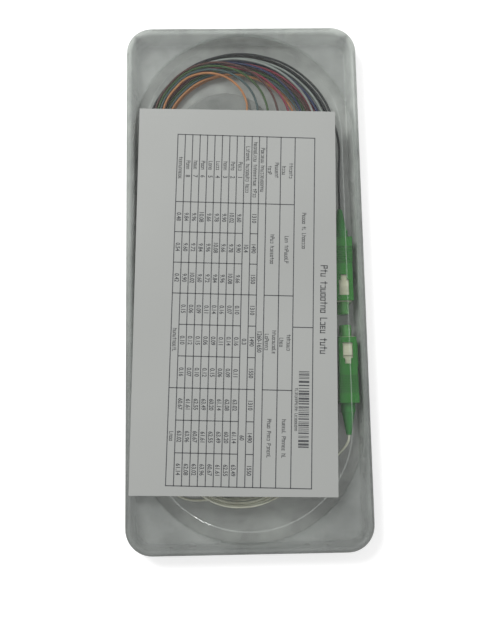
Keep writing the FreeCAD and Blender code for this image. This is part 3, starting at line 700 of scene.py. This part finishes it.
def figures(body, x, y, height):
    """A number, made mesh and brought to its height, with its middle at x, y."""
    deselect()
    bpy.ops.object.text_add()
    number = bpy.context.object
    number.data.body = body
    number.data.offset = FIGURE_BOLDNESS
    bpy.ops.object.convert(target="MESH")
    number = bpy.context.object
    points = [v.co for v in number.data.vertices]
    low = Vector((min(p.x for p in points), min(p.y for p in points), 0))
    high = Vector((max(p.x for p in points), max(p.y for p in points), 0))
    scale = height / (high.y - low.y)
    size = Matrix.Diagonal((scale * FIGURE_WIDTH, scale, 1, 1))
    number.data.transform(Matrix.Translation((x, y, 0)) @ size @ Matrix.Translation(-(low + high) / 2))
    return number


def reading(port, column):
    """A plausible test reading: loss, polarisation loss and return loss, three of each."""
    kind, place = divmod(column, 3)
    steps = (7 * port + 5 * place + 3 * kind) % 9
    lowest, step = READINGS[kind]
    return f"{lowest + step * steps:.2f}"


# Where a port's number and its word stand beside the middle of the label's cell.
PORT_NUMBER = 3.2 * MM
PORT_WORD = -1.2 * MM


def table_figures(table, settings):
    """Every number in the table."""
    height = settings.figure
    numbers = [figures(WAVELENGTH_RANGE, *table.centre(RANGE_ROW, 1, RIGHT_EDGE), height)]
    for column in range(COLUMNS):
        edges = (column + 1, column + 2)
        wavelength = WAVELENGTHS[column % len(WAVELENGTHS)]
        numbers.append(figures(wavelength, *table.centre(WAVELENGTH_ROW, *edges), height))
        for port in range(PORTS):
            place = table.centre(FIRST_PORT_ROW + port, *edges)
            numbers.append(figures(reading(port, column), *place, height))
    for third, limit in zip(THIRDS, LIMITS):
        numbers.append(figures(limit, *table.centre(LIMIT_ROW, third, third + 3), height))
    for port in range(PORTS):
        x, y = table.centre(FIRST_PORT_ROW + port, 0, 1)
        numbers.append(figures(str(port + 1), x + PORT_NUMBER, y, height))
    for column, spread in enumerate(SPREADS):
        numbers.append(figures(spread, *table.centre(LAST_ROW, column + 1, column + 2), height))
    return numbers


def joined(pieces, name):
    """Several objects made one."""
    deselect()
    for piece in pieces:
        piece.select_set(True)
    bpy.context.view_layer.objects.active = pieces[0]
    bpy.ops.object.join()
    piece = bpy.context.object
    piece.name = name
    return piece


PORT_WORDS = (4,)
TITLE_WORDS = (3, 8, 4, 4)
TITLE_X = 78.6 * MM
TITLE_HEIGHT = 2.35 * MM
RANDOM_SEED = 7


def printed(settings, table):
    """All the print on the sheet, as one piece."""
    rng = random.Random(RANDOM_SEED)
    dash = model_dash()
    pieces = ruled(dash, table, settings)
    for row, first, last, line, letters in WORDS:
        x, y = table.centre(row, first, last, line)
        pieces += word_strokes(dash, x, y, letters, settings.letter, rng)
    for port in range(PORTS):
        x, y = table.centre(FIRST_PORT_ROW + port, 0, 1)
        pieces += word_strokes(dash, x + PORT_WORD, y, PORT_WORDS, settings.letter, rng)
    title_y = -settings.heading / 2
    pieces += word_strokes(dash, TITLE_X, title_y, TITLE_WORDS, TITLE_HEIGHT, rng)
    pieces += bar_stripes(dash, table, rng)
    pieces += table_figures(table, settings)
    bpy.data.objects.remove(dash)
    return joined(pieces, "sheet_print")


# ---------------------------------------------------------------- operators

class PrintSheet(bpy.types.Operator):
    """Models the paper and prints the table on it"""
    bl_idname = "splitter.print_sheet"
    bl_label = "Print the sheet"

    def execute(self, context):
        settings = context.scene.splitter_sheet
        place, width, height = page_place(settings)
        sheet = model_paper(settings, width, height)
        marks = printed(settings, Table(settings))
        corner = Vector((settings.margin, -settings.heading, 0))
        turn = Matrix.Rotation(settings.askew, 4, "Z")
        marks.data.transform(Matrix.Translation(corner) @ turn @ Matrix.Translation(-corner))
        for piece, material in ((sheet, paper(settings)), (marks, ink(settings))):
            piece.data.transform(place)
            piece.data.materials.clear()
            piece.data.materials.append(material)
            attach(piece, "lid")
        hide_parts("data_sheet")
        return {"FINISHED"}


class DressPack(bpy.types.Operator):
    """Gives the two shells their films"""
    bl_idname = "splitter.dress_pack"
    bl_label = "Dress the pack"

    def execute(self, context):
        settings = context.scene.splitter_pack
        dress("tray_base", base_film(settings))
        dress("tray_lid", lid_film(settings))
        return {"FINISHED"}


class DressConnectors(bpy.types.Operator):
    """Gives the nine plugs their plastics and metals"""
    bl_idname = "splitter.dress_connectors"
    bl_label = "Dress the connectors"

    def execute(self, context):
        settings = context.scene.splitter_connectors
        grip_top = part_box("input_grip")[1][2]
        painted_shade_step = settings.painted_shade_step
        finishes = {
            # The grips get painted shade in a band just under their tops.
            "grip": plastic(
                "grip_plastic", settings.grip_colour, 0.38,
                painted_shade=lambda n: painted_groove_shade(n, grip_top, painted_shade_step)
            ),
            "boot": plastic("boot_rubber", settings.boot_colour, 0.55, grain=1400.0),
            "cap": clear_plastic("cap_plastic", settings.cap_colour, 0.75),
            "frame": plastic("frame_plastic", settings.frame_colour, 0.4),
            "ferrule": plastic("zirconia", (0.8, 0.8, 0.76), 0.12, coat=0.5),
            "spring": metal("spring_steel", (0.6, 0.6, 0.6), 0.25),
            "stop_ring": metal("plated_ring", (0.66, 0.64, 0.6), 0.3),
        }
        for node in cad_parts:
            for kind, finish in finishes.items():
                if node.endswith("_" + kind):
                    dress(node, finish)
        return {"FINISHED"}


class DressSplitter(bpy.types.Operator):
    """Gives the steel tube and the glass inside it their finishes"""
    bl_idname = "splitter.dress_splitter"
    bl_label = "Dress the splitter"

    def execute(self, context):
        dress("splitter_tube", metal("drawn_steel", (0.6, 0.61, 0.62), 0.28))
        rubber = plastic("end_plug_rubber", (0.02, 0.02, 0.022), 0.6)
        glass = clear_plastic("array_glass", (0.7, 0.76, 0.78), 0.5)
        dress("input_end_plug", rubber)
        dress("output_end_plug", rubber)
        for node in ("splitter_chip", "input_fibre_array", "output_fibre_array"):
            dress(node, glass)
        return {"FINISHED"}


class DressLeads(bpy.types.Operator):
    """Gives each lead its coloured jacket"""
    bl_idname = "splitter.dress_leads"
    bl_label = "Dress the leads"

    def execute(self, context):
        settings = context.scene.splitter_leads
        for name in CONNECTORS:
            dress(name + "_lead", lead_jacket(name + "_jacket", getattr(settings, name)))
        return {"FINISHED"}


KEY_PLACE = (-0.4, 0.38, 0.62)
KEY_AIM = (0, 0, 0)
KEY_SIZE = (0.3, 0.3)
STRIP_PLACE = (-0.25, -0.555, 0.2)
STRIP_AIM = (-0.02, -0.08, 0)
STRIP_SIZE = (0.12, 0.5)


class SetStage(bpy.types.Operator):
    """Sets the floor, the lamps and the camera"""
    bl_idname = "splitter.set_stage"
    bl_label = "Set the stage"

    def execute(self, context):
        settings = context.scene.splitter_stage
        set_floor()
        set_world(settings.world)
        set_lamp("key", settings.key, KEY_PLACE, KEY_AIM, KEY_SIZE)
        strip = set_lamp("strip", settings.strip, STRIP_PLACE, STRIP_AIM, STRIP_SIZE)
        strip.visible_diffuse = False
        set_camera(settings.lens)
        context.scene.view_settings.view_transform = "Standard"
        return {"FINISHED"}


def seen_directly(tree):
    """A factor that is 1 for what the camera, a mirror or a clear film sees, and 0 for other light."""
    path = tree.nodes.new("ShaderNodeLightPath")
    total = path.outputs["Is Camera Ray"]
    for kind in ("Is Glossy Ray", "Is Transmission Ray"):
        both = tree.nodes.new("ShaderNodeMath")
        both.operation = "ADD"
        both.use_clamp = True
        tree.links.new(total, both.inputs[0])
        tree.links.new(path.outputs[kind], both.inputs[1])
        total = both.outputs["Value"]
    return total


FLOOR_SIZE = 6
FLOOR_COLOUR = (0.8, 0.8, 0.8, 1)
FLOOR_GLOW = 0.55
WHITE = (1, 1, 1, 1)


def set_floor():
    """A large white floor that shows as white and keeps a soft shadow."""
    deselect()
    bpy.ops.mesh.primitive_plane_add(size=FLOOR_SIZE, location=(0, 0, 0))
    floor = bpy.context.object
    floor.name = "floor"
    n = Nodes("white_floor")
    surface = n.add("ShaderNodeBsdfDiffuse")
    surface.inputs["Color"].default_value = FLOOR_COLOUR
    light = n.add("ShaderNodeEmission")
    light.inputs["Color"].default_value = WHITE
    light.inputs["Strength"].default_value = FLOOR_GLOW
    both = n.add("ShaderNodeAddShader")
    n.link(surface.outputs["BSDF"], both.inputs[0])
    n.link(light.outputs["Emission"], both.inputs[1])
    shown = n.mix(seen_directly(n.tree), surface.outputs["BSDF"], both.outputs["Shader"])
    floor.data.materials.append(n.finish(shown))


def set_world(strength):
    """Even light from all round, white where it is seen."""
    world = bpy.data.worlds.new("studio")
    bpy.context.scene.world = world
    world.use_nodes = True
    tree = world.node_tree
    tree.nodes.clear()
    fill = tree.nodes.new("ShaderNodeBackground")
    fill.inputs["Color"].default_value = WHITE
    fill.inputs["Strength"].default_value = strength
    white = tree.nodes.new("ShaderNodeBackground")
    white.inputs["Color"].default_value = WHITE
    white.inputs["Strength"].default_value = 1.0
    mix = tree.nodes.new("ShaderNodeMixShader")
    output = tree.nodes.new("ShaderNodeOutputWorld")
    tree.links.new(seen_directly(tree), mix.inputs["Fac"])
    tree.links.new(fill.outputs["Background"], mix.inputs[1])
    tree.links.new(white.outputs["Background"], mix.inputs[2])
    tree.links.new(mix.outputs["Shader"], output.inputs["Surface"])


def set_lamp(name, watts, place, aim, size):
    """A soft lamp that looks at a point."""
    data = bpy.data.lights.new(name, "AREA")
    data.shape = "RECTANGLE"
    data.energy = watts
    data.size, data.size_y = size
    lamp = bpy.data.objects.new(name, data)
    bpy.context.scene.collection.objects.link(lamp)
    lamp.location = place
    lamp.rotation_mode = "QUATERNION"
    lamp.rotation_quaternion = (Vector(aim) - Vector(place)).to_track_quat("-Z", "Y")
    return lamp


CAMERA_PLACE = Vector((-9.09, -58.39, 303.06)) * MM
CAMERA_AIM = Vector((-2.5, -14.53, 0)) * MM
CAMERA_ROLL = math.radians(7.64)
SENSOR_WIDTH = 36


def set_camera(lens):
    """The camera, some 30 cm above the pack and a little to its near side, rolled a few degrees."""
    data = bpy.data.cameras.new("camera")
    data.lens = lens
    data.sensor_width = SENSOR_WIDTH
    camera = bpy.data.objects.new("camera", data)
    bpy.context.scene.collection.objects.link(camera)
    camera.location = CAMERA_PLACE
    looking = (CAMERA_AIM - CAMERA_PLACE).to_track_quat("-Z", "Y")
    camera.rotation_mode = "QUATERNION"
    camera.rotation_quaternion = looking @ Quaternion((0, 0, 1), CAMERA_ROLL)
    bpy.context.scene.camera = camera


class SplitterPanel(bpy.types.Panel):
    """Lists the steps and their settings"""
    bl_idname = "VIEW3D_PT_splitter"
    bl_label = "Packed fibre splitter"
    bl_space_type = "VIEW_3D"
    bl_region_type = "UI"
    bl_category = "Splitter"

    def draw(self, context):
        for name, steps in STEPS.items():
            for step in steps:
                self.layout.operator(step.bl_idname)
            for key in SETTINGS[name].__annotations__:
                self.layout.prop(getattr(context.scene, name), key)


SETTINGS = {
    "splitter_pack": PackSettings,
    "splitter_sheet": SheetSettings,
    "splitter_connectors": ConnectorSettings,
    "splitter_leads": LeadSettings,
    "splitter_stage": StageSettings,
}
STEPS = {
    "splitter_pack": (DressPack,),
    "splitter_sheet": (PrintSheet,),
    "splitter_connectors": (DressConnectors, DressSplitter),
    "splitter_leads": (DressLeads,),
    "splitter_stage": (SetStage,),
}


def register():
    """Adds the settings, the steps and the panel."""
    for name, group in SETTINGS.items():
        bpy.utils.register_class(group)
        setattr(bpy.types.Scene, name, bpy.props.PointerProperty(type=group))
    for steps in STEPS.values():
        for step in steps:
            bpy.utils.register_class(step)
    bpy.utils.register_class(SplitterPanel)


def unregister():
    """Takes them away again."""
    bpy.utils.unregister_class(SplitterPanel)
    for steps in STEPS.values():
        for step in steps:
            bpy.utils.unregister_class(step)
    for name, group in SETTINGS.items():
        delattr(bpy.types.Scene, name)
        bpy.utils.unregister_class(group)


def main():
    """Runs every step in order."""
    register()
    for steps in STEPS.values():
        for step in steps:
            category, name = step.bl_idname.split(".")
            getattr(getattr(bpy.ops, category), name)()


if __name__ == "__main__":
    main()
